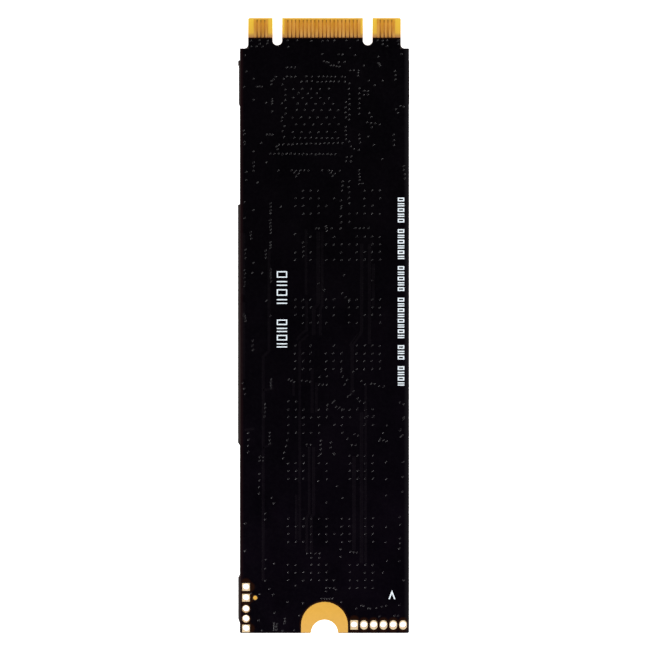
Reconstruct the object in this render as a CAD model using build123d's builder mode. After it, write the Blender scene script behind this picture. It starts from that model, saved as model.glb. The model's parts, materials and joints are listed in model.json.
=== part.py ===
from build123d import *
import math
import os

# Solid state drive card, 22 x 80 mm, two-key edge connector, parts on one side only.
#
# Frame: the card lies on a surface with its packages down and its bare side up.
# X runs across the card, +Y towards the edge connector, +Z up through the bare side.
# The origin is under the middle of the board, on the surface that the card lies on.
# A place given as (x, y) in these lists counts y from the notch end; at() turns it round.

os.makedirs("parts", exist_ok=True)

# ---------------------------------------------------------------- driving dimensions, mm

# Board outline
CARD_W = 22.0
CARD_L = 80.0
TAB_W = 19.85  # connector tab, between the shoulders
TAB_L = 4.0
SHOULDER_R = 0.5
TAB_CORNER = 0.15
CARD_CORNER_R = 0.2
EDGE_BEVEL = 0.18

# What is left of the panel's breakaway tabs on the long edges. Each is its side (-1 is the -X
# edge), its two ends from the notch end, how far it stands out, and the length of its two ramps
TAB_REMNANTS = (
    (-1, 1.3, 7.6, 0.21, 0.6, 0.35),
    (-1, 24.4, 55.75, 0.25, 0.35, 0.1),
    (-1, 68.45, 73.9, 0.13, 0.3, 0.1),
    (-1, 73.45, 74.5, 0.22, 0.35, 0.15),
    (1, 68.6, 74.5, 0.04, 0.3, 0.3),
)
TAB_REMNANT_ROOT = 0.3  # how far its face reaches inside the edge, to join the board

# Key slots, from the middle of the card
KEY_W = 1.25
KEY_DEPTH = 3.6
M_KEY_X = -6.125
B_KEY_X = 5.625

# Mounting notch in the far end
NOTCH_R = 1.75
NOTCH_LIP_R = 0.15

# Layers
CORE_T = 0.76
MASK_T = 0.02
COPPER_T = 0.04
INK_T = 0.012
MASK_SETBACK = 0.08  # laminate left bare along the cut edge
PAD_GAP = 0.06  # mask opening around a pad

# Edge contacts
PIN_PITCH = 0.25  # from one pin number to the next; each face has every second pin
MIDDLE_PIN = 38
CONTACT_W = 0.35
CONTACT_AREA_L = 2.6  # no mask over this much of the tab
CONTACT_SETBACK = 0.2
CONTACT_L = CONTACT_AREA_L - CONTACT_SETBACK
BACK_PINS = (*range(2, 12, 2), *range(20, 60, 2), *range(68, 76, 2))
FRONT_PINS = (*range(1, 13, 2), *range(21, 59, 2), *range(67, 77, 2))

# Mounting pads
BACK_PAD_R = 3.04
BACK_PAD_RISE = 1.02  # centre of the round top, from the end edge
FRONT_PAD_R = 2.8
PAD_END_SETBACK = 0.06

# Plated test headers
HOLE_R = 0.41
PLATING_T = 0.035
ROW_HEADER_Y = 1.07
ROW_HEADER_X = 3.86  # first, square pad
ROW_HEADER_PITCH = 1.27
ROW_HEADER_COUNT = 6
ROW_PAD_W = 0.98
ROW_PAD_L = 1.2
SIDE_HEADER_X = -10.2
SIDE_SQUARE_YS = (6.0, 4.6, 0.61)
SIDE_ROUND_YS = (3.16, 1.88)
SIDE_PAD_W = 0.98

# Fiducial dots
FIDUCIAL_R = 0.26
FIDUCIAL_CLEAR_R = 0.36
BACK_FIDUCIAL = (-9.0, 4.6)
FRONT_FIDUCIALS = ((9.6, 2.5), (-9.9, 75.2))

# Packages and what they stand on
MOULD_CHAMFER = 0.05
DIMPLE_DEPTH = 0.05  # moulded dimple that marks pin one
NAND_DIMPLE_R = 0.4
CONTROLLER_DIMPLE_R = 0.3
POWER_IC_DIMPLE_R = 0.25
LABEL_T = 0.08
BALL_STANDOFF = 0.2
NAND_SUBSTRATE_T = 0.25
NAND_MOULD_T = 0.75
NAND_W = 18.0
NAND_L = 14.0
NAND_PITCH = 14.17
NAND_LAST_Y = 10.5
NAND_XS = (0.8, 0.8, 1.7, 1.7)  # from the notch end
NAND_BALL_R = 0.24
NAND_BALL_PITCH = 1.0
NAND_BALL_COLUMNS = 13
NAND_BALL_ROWS = 6  # in each of the two banks
NAND_BANK_GAP = 2.0

CONTROLLER_X = -1.3
CONTROLLER_Y = 68.1
CONTROLLER_W = 9.0
CONTROLLER_SUBSTRATE_T = 0.22
CONTROLLER_MOULD_T = 0.6
CONTROLLER_BALL_R = 0.2
CONTROLLER_BALL_PITCH = 0.65
CONTROLLER_BALL_COLUMNS = 12

LABEL_SIDE_MARGIN = 1.2  # from the packages' edges
LABEL_END_MARGIN = 0.8
LABEL_CORNER_R = 0.5

# ---------------------------------------------------------------- levels and places

PACKAGE_H = BALL_STANDOFF + NAND_SUBSTRATE_T + NAND_MOULD_T
FRONT_Z = LABEL_T + PACKAGE_H  # outer face of the mask on the component side
CORE_LOW_Z = FRONT_Z + MASK_T
CORE_TOP_Z = CORE_LOW_Z + CORE_T
BACK_Z = CORE_TOP_Z + MASK_T  # outer face of the mask on the bare side
END_Y = -CARD_L / 2
TIP_Y = CARD_L / 2
NAND_YS = [NAND_LAST_Y + i * NAND_PITCH for i in range(4)]


def at(x, from_end):
    """A place on the card, given from the middle line and from the notch end."""
    return (x, END_Y + from_end)


def finish(piece, name):
    """Names one finished sub-part and writes it."""
    piece.part.label = name
    export_step(piece.part, f"parts/{name}.step")


# ---------------------------------------------------------------- outlines shared by layers


def key_slot(x):
    """A round-bottomed slot, open at the connector edge, cut out of the current sketch."""
    slot_r = KEY_W / 2
    centre_y = TIP_Y - KEY_DEPTH + slot_r
    with Locations((x, centre_y)):
        Circle(slot_r, mode=Mode.SUBTRACT)
        Rectangle(KEY_W, KEY_DEPTH + 1, align=(Align.CENTER, Align.MIN), mode=Mode.SUBTRACT)


def tab_remnant(side, low, high, proud, low_ramp, high_ramp):
    """What is left of a panel breakaway tab on a long edge, from low to high."""
    edge = side * CARD_W / 2
    inner = edge - side * TAB_REMNANT_ROOT
    outer = edge + side * proud
    Polygon(
        at(inner, low),
        at(edge, low),
        at(outer, low + low_ramp),
        at(outer, high - high_ramp),
        at(edge, high),
        at(inner, high),
        align=None,
    )


def row_pads(length, width, square_side):
    """The six pads beside the notch: the first is square, the others are oval."""
    with Locations(at(ROW_HEADER_X, ROW_HEADER_Y)):
        Rectangle(square_side, length)
    for i in range(1, ROW_HEADER_COUNT):
        with Locations(at(ROW_HEADER_X + i * ROW_HEADER_PITCH, ROW_HEADER_Y)):
            SlotOverall(length, width, rotation=90)


def side_pads(width):
    """The five pads along the edge: three square and two round."""
    with Locations(*[at(SIDE_HEADER_X, y) for y in SIDE_SQUARE_YS]):
        Rectangle(width, width)
    with Locations(*[at(SIDE_HEADER_X, y) for y in SIDE_ROUND_YS]):
        Circle(width / 2)


def row_holes():
    return [at(ROW_HEADER_X + i * ROW_HEADER_PITCH, ROW_HEADER_Y) for i in range(ROW_HEADER_COUNT)]


def side_holes():
    return [at(SIDE_HEADER_X, y) for y in (*SIDE_SQUARE_YS, *SIDE_ROUND_YS)]


def arch(radius, rise):
    """A pad round the mounting notch, with straight sides up to its round top."""
    with Locations(at(0, rise)):
        Circle(radius)
    with Locations(at(0, 0)):
        Rectangle(2 * radius, rise, align=(Align.CENTER, Align.MIN))


# The laminate's outline, without its plated holes
with BuildSketch() as board_outline:
    with Locations(at(0, 0)):
        Rectangle(CARD_W, CARD_L - TAB_L, align=(Align.CENTER, Align.MIN))
    with Locations(at(0, CARD_L / 2)):
        Rectangle(TAB_W, CARD_L / 2, align=(Align.CENTER, Align.MIN))
    shoulders = board_outline.vertices().group_by(Axis.Y)[-2].sort_by(Axis.X)[1:-1]
    fillet(shoulders, SHOULDER_R)
    chamfer(board_outline.vertices().group_by(Axis.Y)[-1], TAB_CORNER)
    fillet(board_outline.vertices().group_by(Axis.Y)[0], CARD_CORNER_R)
    key_slot(M_KEY_X)
    key_slot(B_KEY_X)
    with Locations(at(0, 0)):
        Circle(NOTCH_R, mode=Mode.SUBTRACT)
    notch_lips = [v for v in board_outline.vertices().group_by(Axis.Y)[0] if abs(v.X) < 2 * NOTCH_R]
    fillet(notch_lips, NOTCH_LIP_R)
    for remnant in TAB_REMNANTS:
        tab_remnant(*remnant)

# ---------------------------------------------------------------- board

with BuildPart() as pcb_core:
    with BuildSketch(Plane.XY.offset(CORE_LOW_Z)):
        add(board_outline.sketch)
        with Locations(*row_holes(), *side_holes()):
            Circle(HOLE_R + PLATING_T, mode=Mode.SUBTRACT)
    extrude(amount=CORE_T)
    tip_edges = pcb_core.edges().filter_by(Axis.X).group_by(Axis.Y)[-1]
    chamfer(tip_edges, EDGE_BEVEL)
finish(pcb_core, "pcb_core")


def mask_outline():
    """The cut edge drawn in a little, and open over the contacts and the test headers."""
    with Locations(at(0, MASK_SETBACK)):
        Rectangle(
            CARD_W - 2 * MASK_SETBACK,
            CARD_L - TAB_L - 2 * MASK_SETBACK,
            align=(Align.CENTER, Align.MIN),
        )
    with Locations(at(0, CARD_L / 2)):
        Rectangle(
            TAB_W - 2 * MASK_SETBACK,
            CARD_L / 2 - CONTACT_AREA_L,
            align=(Align.CENTER, Align.MIN),
        )
    for key_x in (M_KEY_X, B_KEY_X):
        slot_r = KEY_W / 2
        with Locations((key_x, TIP_Y - KEY_DEPTH + slot_r)):
            Circle(slot_r + MASK_SETBACK, mode=Mode.SUBTRACT)
            Rectangle(
                KEY_W + 2 * MASK_SETBACK,
                KEY_DEPTH,
                align=(Align.CENTER, Align.MIN),
                mode=Mode.SUBTRACT,
            )


with BuildSketch() as header_windows:
    row_pads(ROW_PAD_L + 2 * PAD_GAP, ROW_PAD_W + 2 * PAD_GAP, ROW_PAD_W + 2 * PAD_GAP)
    side_pads(SIDE_PAD_W + 2 * PAD_GAP)

with BuildPart() as solder_mask_back:
    with BuildSketch(Plane.XY.offset(CORE_TOP_Z)):
        mask_outline()
        with Locations(at(0, BACK_PAD_RISE)):
            Circle(BACK_PAD_R + PAD_GAP, mode=Mode.SUBTRACT)
        with Locations(at(0, 0)):
            Rectangle(
                2 * (BACK_PAD_R + PAD_GAP),
                2 * BACK_PAD_RISE,
                mode=Mode.SUBTRACT,
            )
        with Locations(at(*BACK_FIDUCIAL)):
            Circle(FIDUCIAL_CLEAR_R, mode=Mode.SUBTRACT)
        add(header_windows.sketch, mode=Mode.SUBTRACT)
    extrude(amount=MASK_T)
finish(solder_mask_back, "solder_mask_back")

with BuildPart() as solder_mask_front:
    with BuildSketch(Plane.XY.offset(FRONT_Z)):
        mask_outline()
        with Locations(at(0, 0)):
            Circle(FRONT_PAD_R + PAD_GAP, mode=Mode.SUBTRACT)
        with Locations(*[at(*place) for place in FRONT_FIDUCIALS]):
            Circle(FIDUCIAL_CLEAR_R, mode=Mode.SUBTRACT)
        add(header_windows.sketch, mode=Mode.SUBTRACT)
    extrude(amount=MASK_T)
finish(solder_mask_front, "solder_mask_front")

# ---------------------------------------------------------------- plated copper


def contact_row(pins):
    """One gold contact for each pin number, all starting a little inside the edge."""
    xs = [(MIDDLE_PIN - pin) * PIN_PITCH for pin in pins]
    with Locations(*[(x, TIP_Y - CONTACT_SETBACK - CONTACT_L / 2) for x in xs]):
        Rectangle(CONTACT_W, CONTACT_L)


with BuildPart() as edge_contacts_back:
    with BuildSketch(Plane.XY.offset(CORE_TOP_Z)):
        contact_row(BACK_PINS)
    extrude(amount=COPPER_T)
finish(edge_contacts_back, "edge_contacts_back")

with BuildPart() as edge_contacts_front:
    with BuildSketch(Plane.XY.offset(CORE_LOW_Z)):
        contact_row(FRONT_PINS)
    extrude(amount=-COPPER_T)
finish(edge_contacts_front, "edge_contacts_front")

with BuildSketch() as notch_pad_limit:
    add(board_outline.sketch)
    with Locations(at(0, 0)):
        Rectangle(CARD_W, 2 * PAD_END_SETBACK, mode=Mode.SUBTRACT)

with BuildPart() as mounting_pad_back:
    with BuildSketch(Plane.XY.offset(CORE_TOP_Z)):
        arch(BACK_PAD_R, BACK_PAD_RISE)
        add(notch_pad_limit.sketch, mode=Mode.INTERSECT)
    extrude(amount=COPPER_T)
finish(mounting_pad_back, "mounting_pad_back")

with BuildPart() as mounting_pad_front:
    with BuildSketch(Plane.XY.offset(CORE_LOW_Z)):
        arch(FRONT_PAD_R, PAD_END_SETBACK)
        add(notch_pad_limit.sketch, mode=Mode.INTERSECT)
    extrude(amount=-COPPER_T)
finish(mounting_pad_front, "mounting_pad_front")


def eyelets(name, holes, pads):
    """Plated holes: a barrel through the laminate with a pad on each face."""
    with BuildPart() as piece:
        for face_z, direction in ((CORE_TOP_Z, 1), (CORE_LOW_Z, -1)):
            with BuildSketch(Plane.XY.offset(face_z)):
                pads()
            extrude(amount=direction * COPPER_T)
        with BuildSketch(Plane.XY.offset(CORE_LOW_Z)):
            with Locations(*holes):
                Circle(HOLE_R + PLATING_T)
        extrude(amount=CORE_T)
        with BuildSketch(Plane.XY.offset(CORE_LOW_Z - COPPER_T)):
            with Locations(*holes):
                Circle(HOLE_R)
        extrude(amount=CORE_T + 2 * COPPER_T, mode=Mode.SUBTRACT)
    finish(piece, name)


eyelets("row_header_eyelets", row_holes(), lambda: row_pads(ROW_PAD_L, ROW_PAD_W, ROW_PAD_W))
eyelets("side_header_eyelets", side_holes(), lambda: side_pads(SIDE_PAD_W))

with BuildPart() as fiducial_back:
    with BuildSketch(Plane.XY.offset(CORE_TOP_Z)):
        with Locations(at(*BACK_FIDUCIAL)):
            Circle(FIDUCIAL_R)
    extrude(amount=COPPER_T)
finish(fiducial_back, "fiducial_back")

with BuildPart() as fiducials_front:
    with BuildSketch(Plane.XY.offset(CORE_LOW_Z)):
        with Locations(*[at(*place) for place in FRONT_FIDUCIALS]):
            Circle(FIDUCIAL_R)
    extrude(amount=-COPPER_T)
finish(fiducials_front, "fiducials_front")

# ---------------------------------------------------------------- printed marks, all plain shapes

STROKE = 0.15
BLOCK_SHARE = 0.72  # how much of its pitch a block fills
BAR_SHARE = 0.2  # how far each bar of a pair stands from the middle of its pitch

# Each row of marks: its x, where it starts, its height across the card, its pitch, its groups
MARK_ROWS = (
    (9.95, 56.7, 0.85, 0.685, (5, 6, 5, 8, 3, 4)),
    (-5.52, 47.2, 1.35, 1.17, (4,)),
    (-5.52, 40.9, 1.35, 1.0, (4,)),
)

# A plain arrowhead, open behind, that points to the connector
ARROW_X = 8.77
ARROW_LOW_Y = 4.42
ARROW_W = 0.92
ARROW_H = 1.2
ARROW_STROKE = 0.19


def mark_row(x, top, height, pitch, groups):
    """Blocks and bars in a line down the card, standing for a row of print."""
    y = top
    block_l = pitch * BLOCK_SHARE
    for count in groups:
        for i in range(count):
            middle = y - pitch / 2
            if i % 2:
                reach = pitch * BAR_SHARE
                with Locations(at(x, middle + reach), at(x, middle - reach)):
                    Rectangle(height, STROKE)
            else:
                with Locations(at(x, middle)):
                    Rectangle(height, block_l)
                    Rectangle(height - 2 * STROKE, block_l - 2 * STROKE, mode=Mode.SUBTRACT)
            y -= pitch
        y -= pitch


def arrowhead():
    """Two legs that meet in a point."""
    half = ARROW_W / 2
    inner_top = ARROW_H * (1 - ARROW_STROKE / half)
    Polygon(
        at(ARROW_X - half, ARROW_LOW_Y),
        at(ARROW_X - half + ARROW_STROKE, ARROW_LOW_Y),
        at(ARROW_X, ARROW_LOW_Y + inner_top),
        at(ARROW_X + half - ARROW_STROKE, ARROW_LOW_Y),
        at(ARROW_X + half, ARROW_LOW_Y),
        at(ARROW_X, ARROW_LOW_Y + ARROW_H),
        align=None,
    )


with BuildPart() as silkscreen_back:
    with BuildSketch(Plane.XY.offset(BACK_Z)):
        for row in MARK_ROWS:
            mark_row(*row)
        arrowhead()
    extrude(amount=INK_T)
finish(silkscreen_back, "silkscreen_back")

# ---------------------------------------------------------------- packages


def ball_grid(spots, radius):
    """Solder balls squashed flat where they meet the package and the board."""
    squash = math.degrees(math.asin(BALL_STANDOFF / 2 / radius))
    middle_z = FRONT_Z - BALL_STANDOFF / 2
    with Locations(*[(x, y, middle_z) for x, y in spots]):
        Sphere(radius, arc_size1=-squash, arc_size2=squash)


def package(name, x, y, width, length, substrate_t, mould_t, dimple_r):
    """A laminate carrier with its moulded cap, and a moulded dimple that marks pin one."""
    top_z = FRONT_Z - BALL_STANDOFF
    cap_z = top_z - substrate_t
    with BuildPart() as substrate:
        with BuildSketch(Plane.XY.offset(top_z)):
            with Locations(at(x, y)):
                Rectangle(width, length)
        extrude(amount=-substrate_t)
    finish(substrate, f"{name}_substrate")
    with BuildPart() as mould:
        with BuildSketch(Plane.XY.offset(cap_z)):
            with Locations(at(x, y)):
                Rectangle(width, length)
        extrude(amount=-mould_t)
        outer_face = mould.faces().sort_by(Axis.Z)[0]
        chamfer(outer_face.edges(), MOULD_CHAMFER)
        with BuildSketch(Plane.XY.offset(cap_z - mould_t)):
            with Locations(at(x - width / 2 + 3 * dimple_r, y + length / 2 - 3 * dimple_r)):
                Circle(dimple_r)
        extrude(amount=DIMPLE_DEPTH, mode=Mode.SUBTRACT)
    finish(mould, f"{name}_mould")


for number, (nand_x, nand_y) in enumerate(zip(NAND_XS, NAND_YS), start=1):
    package(
        f"nand_{number}",
        nand_x,
        nand_y,
        NAND_W,
        NAND_L,
        NAND_SUBSTRATE_T,
        NAND_MOULD_T,
        NAND_DIMPLE_R,
    )
    columns = [(i - (NAND_BALL_COLUMNS - 1) / 2) * NAND_BALL_PITCH for i in range(NAND_BALL_COLUMNS)]
    rows = [NAND_BANK_GAP / 2 + i * NAND_BALL_PITCH for i in range(NAND_BALL_ROWS)]
    rows += [-y for y in rows]
    corners = [(c, r) for c in (min(columns), max(columns)) for r in (min(rows), max(rows))]
    spots = [(c, r) for c in columns for r in rows if (c, r) not in corners]
    with BuildPart() as nand_balls:
        ball_grid([at(nand_x + c, nand_y + r) for c, r in spots], NAND_BALL_R)
    finish(nand_balls, f"nand_{number}_balls")

package(
    "controller",
    CONTROLLER_X,
    CONTROLLER_Y,
    CONTROLLER_W,
    CONTROLLER_W,
    CONTROLLER_SUBSTRATE_T,
    CONTROLLER_MOULD_T,
    CONTROLLER_DIMPLE_R,
)
grid = [
    (i - (CONTROLLER_BALL_COLUMNS - 1) / 2) * CONTROLLER_BALL_PITCH
    for i in range(CONTROLLER_BALL_COLUMNS)
]
with BuildPart() as controller_balls:
    ball_grid([at(CONTROLLER_X + c, CONTROLLER_Y + r) for c in grid for r in grid], CONTROLLER_BALL_R)
finish(controller_balls, "controller_balls")

# The label lies over the two middle packages, and the card rests on it
with BuildPart() as label:
    with BuildSketch():
        with Locations(at((NAND_XS[1] + NAND_XS[2]) / 2, (NAND_YS[1] + NAND_YS[2]) / 2)):
            RectangleRounded(
                NAND_W - 2 * LABEL_SIDE_MARGIN,
                2 * (NAND_L - LABEL_END_MARGIN),
                LABEL_CORNER_R,
            )
    extrude(amount=LABEL_T)
finish(label, "label")

# ---------------------------------------------------------------- power supply and clock

SOLDER_T = 0.04
POWER_IC = (7.5, 70.6)
POWER_IC_W = 4.0
POWER_IC_T = 0.85
POWER_IC_PADDLE_W = 2.6  # the pad under its middle
LEAD_PITCH = 0.5
LEADS_PER_SIDE = 6
LEAD_W = 0.25
LEAD_L = 0.4
LOAD_SWITCH = (6.0, 74.3)
LOAD_SWITCH_W = 2.9
LOAD_SWITCH_L = 1.6
LOAD_SWITCH_T = 1.0
LOAD_SWITCH_CHAMFER = 0.1
LOAD_SWITCH_LEAD_PITCH = 0.95
INDUCTORS = ((6.1, 66.1), (8.9, 66.1))
INDUCTOR_W = 2.0
INDUCTOR_L = 2.5
INDUCTOR_T = 1.0
INDUCTOR_END = 0.55
INDUCTOR_TERMINAL_W = 1.7
INDUCTOR_CORNER_R = 0.15
INDUCTOR_CHAMFER = 0.08
CRYSTAL = (-8.5, 68.4)
CRYSTAL_W = 2.5
CRYSTAL_L = 3.2
CRYSTAL_BASE_T = 0.35
CRYSTAL_CAN_T = 0.35
CRYSTAL_RIM = 0.15  # bare base round the can
CRYSTAL_BASE_R = 0.15
CRYSTAL_CAN_R = 0.3
CRYSTAL_CAN_EDGE_R = 0.1


def block(x, y, width, length, near_z, height):
    """A box that hangs height below near_z."""
    with Locations((*at(x, y), near_z)):
        Box(width, length, height, align=(Align.CENTER, Align.CENTER, Align.MAX))


with BuildPart() as power_ic_body:
    block(*POWER_IC, POWER_IC_W, POWER_IC_W, FRONT_Z - SOLDER_T, POWER_IC_T)
    with BuildSketch(Plane.XY.offset(FRONT_Z - SOLDER_T - POWER_IC_T)):
        with Locations(at(POWER_IC[0] - POWER_IC_W / 3, POWER_IC[1] + POWER_IC_W / 3)):
            Circle(POWER_IC_DIMPLE_R)
    extrude(amount=DIMPLE_DEPTH, mode=Mode.SUBTRACT)
finish(power_ic_body, "power_ic_body")

with BuildPart() as power_ic_pads:
    block(*POWER_IC, POWER_IC_PADDLE_W, POWER_IC_PADDLE_W, FRONT_Z, SOLDER_T)
    reach = POWER_IC_W / 2 - LEAD_L / 2
    for i in range(LEADS_PER_SIDE):
        step = (i - (LEADS_PER_SIDE - 1) / 2) * LEAD_PITCH
        for side in (-1, 1):
            block(POWER_IC[0] + side * reach, POWER_IC[1] + step, LEAD_L, LEAD_W, FRONT_Z, SOLDER_T)
            block(POWER_IC[0] + step, POWER_IC[1] + side * reach, LEAD_W, LEAD_L, FRONT_Z, SOLDER_T)
finish(power_ic_pads, "power_ic_pads")

with BuildPart() as load_switch_body:
    block(*LOAD_SWITCH, LOAD_SWITCH_W, LOAD_SWITCH_L, FRONT_Z - SOLDER_T, LOAD_SWITCH_T)
    chamfer(load_switch_body.faces().sort_by(Axis.Z)[0].edges(), LOAD_SWITCH_CHAMFER)
finish(load_switch_body, "load_switch_body")


# One bent lead, drawn looking along the row: out of the body, down, and out along the board
LEAD_METAL = 0.12
LEAD_REACH = 0.6
LEAD_KNEE = 0.22
lead_drop = LOAD_SWITCH_T / 2
with BuildPart() as gull_lead:
    with BuildSketch(Plane(origin=(-LEAD_W / 2, 0, 0), x_dir=(0, 1, 0), z_dir=(1, 0, 0))):
        with BuildLine():
            Polyline(
                (0, -lead_drop),
                (LEAD_KNEE + LEAD_METAL, -lead_drop),
                (LEAD_KNEE + LEAD_METAL, -LEAD_METAL),
                (LEAD_REACH, -LEAD_METAL),
                (LEAD_REACH, 0),
                (LEAD_KNEE, 0),
                (LEAD_KNEE, LEAD_METAL - lead_drop),
                (0, LEAD_METAL - lead_drop),
                close=True,
            )
        make_face()
    extrude(amount=LEAD_W)

with BuildPart() as load_switch_leads:
    for side, turn in ((1, 0), (-1, 180)):
        root_y = LOAD_SWITCH[1] + side * LOAD_SWITCH_L / 2
        for step in (-1, 0, 1):
            lead_x = LOAD_SWITCH[0] + step * LOAD_SWITCH_LEAD_PITCH
            with Locations(Location((*at(lead_x, root_y), FRONT_Z), (0, 0, turn))):
                add(gull_lead.part)
finish(load_switch_leads, "load_switch_leads")

with BuildPart() as inductor_bodies:
    for x, y in INDUCTORS:
        block(x, y, INDUCTOR_W, INDUCTOR_L, FRONT_Z - SOLDER_T, INDUCTOR_T)
    fillet(inductor_bodies.edges().filter_by(Axis.Z), INDUCTOR_CORNER_R)
    chamfer(inductor_bodies.faces().group_by(Axis.Z)[0].edges(), INDUCTOR_CHAMFER)
finish(inductor_bodies, "inductor_bodies")

with BuildPart() as inductor_terminals:
    for x, y in INDUCTORS:
        for side in (-1, 1):
            shift = side * (INDUCTOR_L - INDUCTOR_END) / 2
            block(x, y + shift, INDUCTOR_TERMINAL_W, INDUCTOR_END, FRONT_Z, SOLDER_T)
finish(inductor_terminals, "inductor_terminals")

with BuildPart() as crystal_base:
    block(*CRYSTAL, CRYSTAL_W, CRYSTAL_L, FRONT_Z, CRYSTAL_BASE_T)
    fillet(crystal_base.edges().filter_by(Axis.Z), CRYSTAL_BASE_R)
finish(crystal_base, "crystal_base")

with BuildPart() as crystal_can:
    block(
        *CRYSTAL,
        CRYSTAL_W - 2 * CRYSTAL_RIM,
        CRYSTAL_L - 2 * CRYSTAL_RIM,
        FRONT_Z - CRYSTAL_BASE_T,
        CRYSTAL_CAN_T,
    )
    fillet(crystal_can.edges().filter_by(Axis.Z), CRYSTAL_CAN_R)
    fillet(crystal_can.faces().sort_by(Axis.Z)[0].edges(), CRYSTAL_CAN_EDGE_R)
finish(crystal_can, "crystal_can")

# ---------------------------------------------------------------- two-terminal chips

# Length, width, height and terminal length of each size
SMALL = (1.0, 0.5, 0.5, 0.25)
MEDIUM = (1.6, 0.8, 0.8, 0.35)
LARGE = (2.0, 1.25, 0.85, 0.45)
RESISTOR = (1.0, 0.5, 0.35, 0.25)
FUSE = (1.6, 0.8, 0.5, 0.4)

BODY_SHARE = 0.94  # a chip's body is this much of its end caps' width and height


def across(x, y, pitch, count):
    """Places in a row across the card."""
    return [at(x + i * pitch, y) for i in range(count)]


def along(x, y, pitch, count):
    """Places in a row along the card."""
    return [at(x, y + i * pitch) for i in range(count)]


SMALL_CAPACITORS = [
    *across(-4.9, 73.4, 1.2, 7),  # the controller's supply
    *across(-3.5, 61.6, 1.2, 7),
    *across(-3.05, 74.9, 0.75, 4),  # in the four data lines
    *along(3.9, 65.0, 1.5, 5),
    at(-8.9, 71.0),
    at(-8.1, 65.8),
]
MEDIUM_CAPACITORS = [
    *across(5.4, 63.0, 1.25, 4),
    at(-9.9, 63.4),
    at(-8.5, 63.4),
    at(9.9, 73.6),
    at(8.6, 74.3),
]
LARGE_CAPACITORS = [at(-9.6, 73.2), at(-7.9, 73.6)]
RESISTORS = [
    *across(-10.0, 61.4, 0.9, 6),
    *along(-6.7, 64.0, 1.5, 5),
    *along(10.3, 68.8, 1.5, 2),
]
FUSES = [at(9.4, 61.0)]


def chips(name, places, size):
    """Chips with their length along the card: bodies in one node, end caps in another."""
    length, width, height, cap = size
    middle_z = FRONT_Z - height / 2
    body_l = length - 2 * cap
    with BuildPart() as bodies:
        with Locations(*[(x, y, middle_z) for x, y in places]):
            Box(width * BODY_SHARE, body_l, height * BODY_SHARE)
    finish(bodies, f"{name}_bodies")
    with BuildPart() as terminals:
        for side in (-1, 1):
            shift = side * (length - cap) / 2
            with Locations(*[(x, y + shift, middle_z) for x, y in places]):
                Box(width, cap, height)
    finish(terminals, f"{name}_terminals")


chips("small_capacitor", SMALL_CAPACITORS, SMALL)
chips("medium_capacitor", MEDIUM_CAPACITORS, MEDIUM)
chips("large_capacitor", LARGE_CAPACITORS, LARGE)
chips("resistor", RESISTORS, RESISTOR)
chips("fuse", FUSES, FUSE)
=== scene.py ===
import json
import math
import random

import bmesh
import bpy
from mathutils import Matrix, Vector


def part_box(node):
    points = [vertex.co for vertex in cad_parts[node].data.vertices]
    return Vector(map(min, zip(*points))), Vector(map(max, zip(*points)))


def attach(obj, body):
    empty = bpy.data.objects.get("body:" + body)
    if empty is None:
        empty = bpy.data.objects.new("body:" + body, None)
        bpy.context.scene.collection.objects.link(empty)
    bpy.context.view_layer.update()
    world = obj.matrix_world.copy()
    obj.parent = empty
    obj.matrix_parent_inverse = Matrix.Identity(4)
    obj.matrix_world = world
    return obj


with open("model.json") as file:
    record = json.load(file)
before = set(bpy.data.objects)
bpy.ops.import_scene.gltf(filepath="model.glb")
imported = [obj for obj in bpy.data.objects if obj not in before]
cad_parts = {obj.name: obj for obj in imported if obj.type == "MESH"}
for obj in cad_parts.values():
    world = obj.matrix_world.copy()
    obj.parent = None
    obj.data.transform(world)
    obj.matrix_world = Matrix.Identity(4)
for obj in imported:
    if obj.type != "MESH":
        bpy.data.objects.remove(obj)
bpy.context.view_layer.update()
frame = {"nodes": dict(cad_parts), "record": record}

NODES = frame["nodes"]
MM = 0.001

# ---------------------------------------------------------------- places, from the frame

CORE_LOW, CORE_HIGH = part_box("pcb_core")
END_Y = CORE_LOW.y
TIP_Y = CORE_HIGH.y
BACK_FACE_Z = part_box("solder_mask_back")[1].z
FRONT_FACE_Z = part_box("solder_mask_front")[0].z
TOP_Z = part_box("edge_contacts_back")[1].z
CONTACT_LOW_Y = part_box("edge_contacts_back")[0].y
CONTACT_HIGH_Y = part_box("edge_contacts_back")[1].y


def at(x, from_end):
    """A place in metres, from millimetres off the middle line and up from the notch end."""
    return x * MM, END_Y + from_end * MM


def islands(node):
    """The lowest and highest corner of each loose solid of a CAD node."""
    work = bmesh.new()
    work.from_mesh(NODES[node].data)
    seen, boxes = set(), []
    for start in work.verts:
        if start in seen:
            continue
        solid, edge = {start}, [start]
        while edge:
            for link in edge.pop().link_edges:
                for vert in link.verts:
                    if vert not in solid:
                        solid.add(vert)
                        edge.append(vert)
        seen |= solid
        spread = [[v.co[i] for v in solid] for i in range(3)]
        boxes.append(([min(side) for side in spread], [max(side) for side in spread]))
    work.free()
    return boxes


def header_holes():
    """The middle of each plated hole's mouth on the bare side."""
    boxes = [*islands("row_header_eyelets"), *islands("side_header_eyelets")]
    return [((low[0] + high[0]) / 2, (low[1] + high[1]) / 2, TOP_Z) for low, high in boxes]


# ---------------------------------------------------------------- shader helpers


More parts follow.
